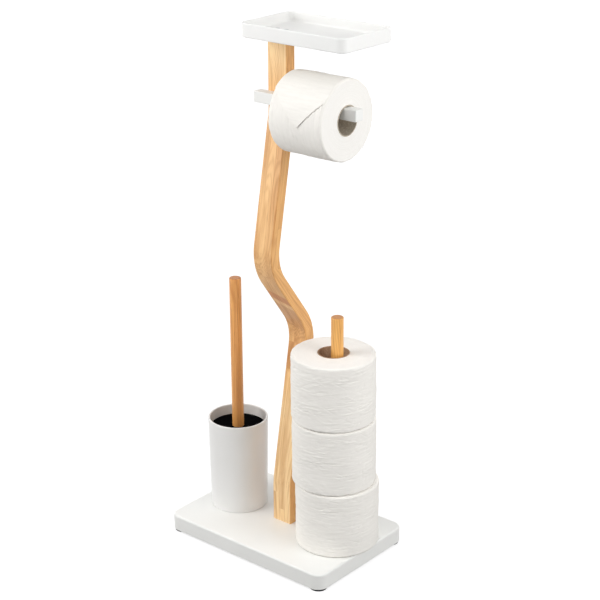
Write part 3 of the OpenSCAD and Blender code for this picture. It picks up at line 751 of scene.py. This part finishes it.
def flared_feet(mats):
    """The rubber feet: low pads that flare towards the floor, hollowed a little underneath."""
    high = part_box("rubber_feet")[1]
    pad_r, flare_r, around = 0.010, 0.0126, 64
    outline = [
        (pad_r - 0.0026, 0.0004),
        (pad_r - 0.002, 0.0),
        (flare_r - 0.0005, 0.0),
        (flare_r, 0.0004),
        (flare_r, 0.0010),
        (pad_r + 0.0012, 0.0018),
        (pad_r + 0.0006, high.z),
    ]
    vertices, faces = [], []
    for x in (pad_r - high.x, high.x - pad_r):
        for y in (pad_r - high.y, high.y - pad_r):
            n = len(vertices)
            rings, sides = turned_rings(outline, around, (x, y), n)
            vertices += rings
            top = n + (len(outline) - 1) * around
            faces += sides + [range(n + around - 1, n - 1, -1), range(top, top + around)]
    piece = new_piece("flared_feet", vertices, faces, mats)
    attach(piece, "stand")
    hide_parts("rubber_feet")


BRISTLE_SIDES = 3
# A bristle's half width at shares of its length
BRISTLE_TAPER = ((0, 0.00022), (0.55, 0.0002), (1, 0.00012))
# How far its root lies in the backing and strays in its tuft, what is trimmed off it, and its bend
ROOT_DEPTH, ROOT_STRAY, TRIMMED, BRISTLE_BEND = 0.0006, 0.0007, (0.0002, 0.0012), 0.0009
# How far its turn and its tilt stray, in radians
TURN_STRAY, TILT_STRAY = 0.035, 0.04


def bristle(rng, turn, lean, z, r, length, first):
    """One bristle, rooted at a height and radius of the backing, bent and tapered."""
    turn = turn + rng.normal(0, TURN_STRAY)
    tilt = lean + rng.normal(0, TILT_STRAY)
    radial = np.array((math.cos(turn), math.sin(turn), 0.0))
    ahead = radial * math.cos(tilt) - np.array((0, 0, math.sin(tilt)))
    aside = np.array((-math.sin(turn), math.cos(turn), 0.0))
    above = np.cross(ahead, aside)
    root = np.array((0, 0, z)) + radial * (r - ROOT_DEPTH)
    root = root + aside * rng.normal(0, ROOT_STRAY) + above * rng.normal(0, ROOT_STRAY)
    length = length - rng.uniform(*TRIMMED)
    bend = rng.normal(0, BRISTLE_BEND, 2)
    vertices, faces = [], []
    for share, width in BRISTLE_TAPER:
        mid = root + ahead * length * share + (aside * bend[0] + above * bend[1]) * share ** 2
        for c in range(BRISTLE_SIDES):
            a = c * TAU / BRISTLE_SIDES
            vertices.append(mid + (aside * math.cos(a) + above * math.sin(a)) * width)
    for level in range(len(BRISTLE_TAPER) - 1):
        low = first + level * BRISTLE_SIDES
        for c in range(BRISTLE_SIDES):
            d = (c + 1) % BRISTLE_SIDES
            faces.append((low + c, low + d, low + BRISTLE_SIDES + d, low + BRISTLE_SIDES + c))
    tip = first + (len(BRISTLE_TAPER) - 1) * BRISTLE_SIDES
    faces.append(range(tip, tip + BRISTLE_SIDES))
    return vertices, faces


def bristle_head(mats):
    """The brush's bristles: tufts in staggered rings round the backing and over its end."""
    rng = np.random.default_rng(11)
    low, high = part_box("bristles")
    brush_r, backing_r, bore_r, head_h = 0.035, 0.0125, 0.0096, 0.046
    tufts, bristles_each, end_rings, side_rings = 24, 8, 4, 10
    end_lean, ring_gap = 72, 0.0046
    top = high.z
    round_z = top - head_h
    rings = []
    for k in range(end_rings):
        lean = math.radians(end_lean * (end_rings - k) / end_rings)
        rings.append((round_z - backing_r * math.sin(lean), backing_r * math.cos(lean), lean))
    rings += [(round_z + ring_gap * (k + 0.25), backing_r, 0.0) for k in range(side_rings)]
    vertices, faces = [], []
    for k, (z, r, lean) in enumerate(rings):
        for i in range(tufts):
            turn = (i + (k % 2) / 2) * TAU / tufts
            for _ in range(bristles_each):
                made = bristle(rng, turn, lean, z, r, brush_r - backing_r, len(vertices))
                vertices += made[0]
                faces += made[1]

    # The backing that the tufts grow from, open at the top where the core fills it
    around, n = 48, len(vertices)
    bends = np.linspace(0.2, math.pi / 2, 8)
    outline = [(backing_r * math.sin(a), round_z - backing_r * math.cos(a)) for a in bends]
    outline += [(backing_r, round_z + 0.02), (backing_r, top), (bore_r, top), (bore_r, round_z)]
    backing, sides = turned_rings(outline, around, first=n)
    vertices += backing + [(0.0, 0.0, round_z - backing_r)]
    faces += sides
    pole = len(vertices) - 1
    for j in range(around):
        faces.append((pole, n + (j + 1) % around, n + j))
    piece = new_piece("brush_bristles", vertices, faces, mats, smooth=False)
    piece.location = ((low.x + high.x) / 2, (low.y + high.y) / 2, 0)
    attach(piece, "toilet_brush")
    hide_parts("bristles")


# The whole scene


def light_and_view():
    place_camera()
    white_room()
    pale_floor()
    softbox("left_light", place=(-0.72, -1.0, 1.1), target=(0, 0, 0.8), side=0.8, watts=11)
    softbox("right_light", place=(1.3, 0.05, 0.98), target=(0, 0, 0.75), side=0.8, watts=9.5)
    softbox("top_light", place=(0, -0.4, 8.0), target=(0, 0, 0.4), side=3.8, watts=75)


def dress_solids(frame):
    """The CAD solids that show as they are: the white parts, the woods, the cores, the spare ones with
    painted bounce light from the rod, and the metal.
    """
    coat, grain = make_smooth_coat(), make_wood_grain()
    lacquer = white_finish("white_lacquer", coat, (246, 246, 243), (241, 241, 238), 0.42, 0.00002)
    moulding = white_finish("tray_white", coat, (246, 246, 244), (241, 240, 238), 0.38, 0.00002)
    cup_white = white_finish("cup_white", coat, (245, 244, 242), (240, 239, 236), 0.3, 0.00001)
    dress(frame, lacquer, "base_slab", "roll_bar")
    dress(frame, moulding, "tray")
    dress(frame, cup_white, "brush_cup")
    dress(frame, laminated_wood(grain), "post")
    rod = turned_wood(
        "rod_wood",
        grain,
        light=(253, 192, 108),
        dark=(196, 124, 50),
        pore=(146, 84, 34),
        top=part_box("spare_rod")[1].z,
        coat_weight=0.1,
        Tone=0.34,
        Figure=0.6,
        Lines=0.4,
    )
    handle = turned_wood(
        "handle_wood",
        grain,
        light=(252, 184, 106),
        dark=(190, 112, 46),
        pore=(128, 72, 32),
        top=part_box("brush_handle")[1].z,
        coat_weight=0.15,
        Tone=0.26,
        Figure=0.5,
        Lines=0.36,
    )
    dress(frame, rod, "spare_rod")
    dress(frame, handle, "brush_handle")
    dress(frame, cardboard("core_board", (206, 195, 178), (184, 172, 154)), "hanging_roll_core")
    # The spare cores' board is warmer and darker than the hanging core's: painted warm bounce light
    # from the wooden rod inside them, with painted shade in their bores
    board_with_painted_rod_light = cardboard("spare_core_painted_rod_light", (190, 160, 132), (164, 132, 104))
    dress(frame, board_with_painted_rod_light, "bottom_roll_core", "middle_roll_core", "top_roll_core")
    collar_black = dark_moulding("collar_black", (2, 2, 3), 0.85, 0.00003, 0.02)
    dress(frame, collar_black, "splash_collar", "brush_core")
    steel = metal("zinc_steel", (196, 198, 202), 0.3)
    dress(frame, steel, "post_bolts", "rod_bolt", "tray_screws", "bar_screws", "handle_stud")
    dress(frame, metal("insert_brass", (206, 168, 96), 0.32), "post_inserts", "rod_insert")


def wind_rolls():
    """The three spare rolls on their rod, and the roll in use on its bar with its folded end."""
    # The side's two colours are the crepe's painted light on its crests and painted shade in its
    # hollows
    side = tissue("tissue_side", make_crepe(), (255, 252, 246), (249, 246, 240), 0.0003)
    end = wound_edge("tissue_end")
    for k, level in enumerate(("bottom", "middle", "top")):
        low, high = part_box(level + "_roll_paper")
        paper_roll(
            level + "_tissue",
            radius=0.062,
            bore_r=0.0233,
            length=high.z - low.z,
            seed=5 + k,
            body=level + "_roll",
            nodes=(level + "_roll_paper",),
            mats=(side, end),
            upright=True,
            place=((low.x + high.x) / 2, (low.y + high.y) / 2, low.z),
            tail_at=math.radians(100 + 25 * k),
        )
    low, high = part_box("hanging_roll_paper")
    radius, length = (high.z - low.z) / 2, high.x - low.x
    hub = (low.x, (low.y + high.y) / 2, (low.z + high.z) / 2)
    paper_roll(
        "hanging_tissue",
        radius=radius,
        bore_r=0.0213,
        length=length,
        seed=8,
        body="hanging_roll",
        nodes=("hanging_roll_paper",),
        mats=(side, end),
        upright=False,
        place=hub,
        tail_at=math.radians(150),
    )
    folded_end(radius, length, hub, (side,))


def main():
    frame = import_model()
    light_and_view()
    dress_solids(frame)
    flared_feet((dark_moulding("foot_rubber", (16, 16, 17), 0.8, 0.00006, 0.1),))
    wind_rolls()
    bristle_head((dark_moulding("bristle_nylon", (12, 12, 13), 0.42, 0.00002),))

    bpy.context.scene.view_settings.view_transform = "Standard"


main()
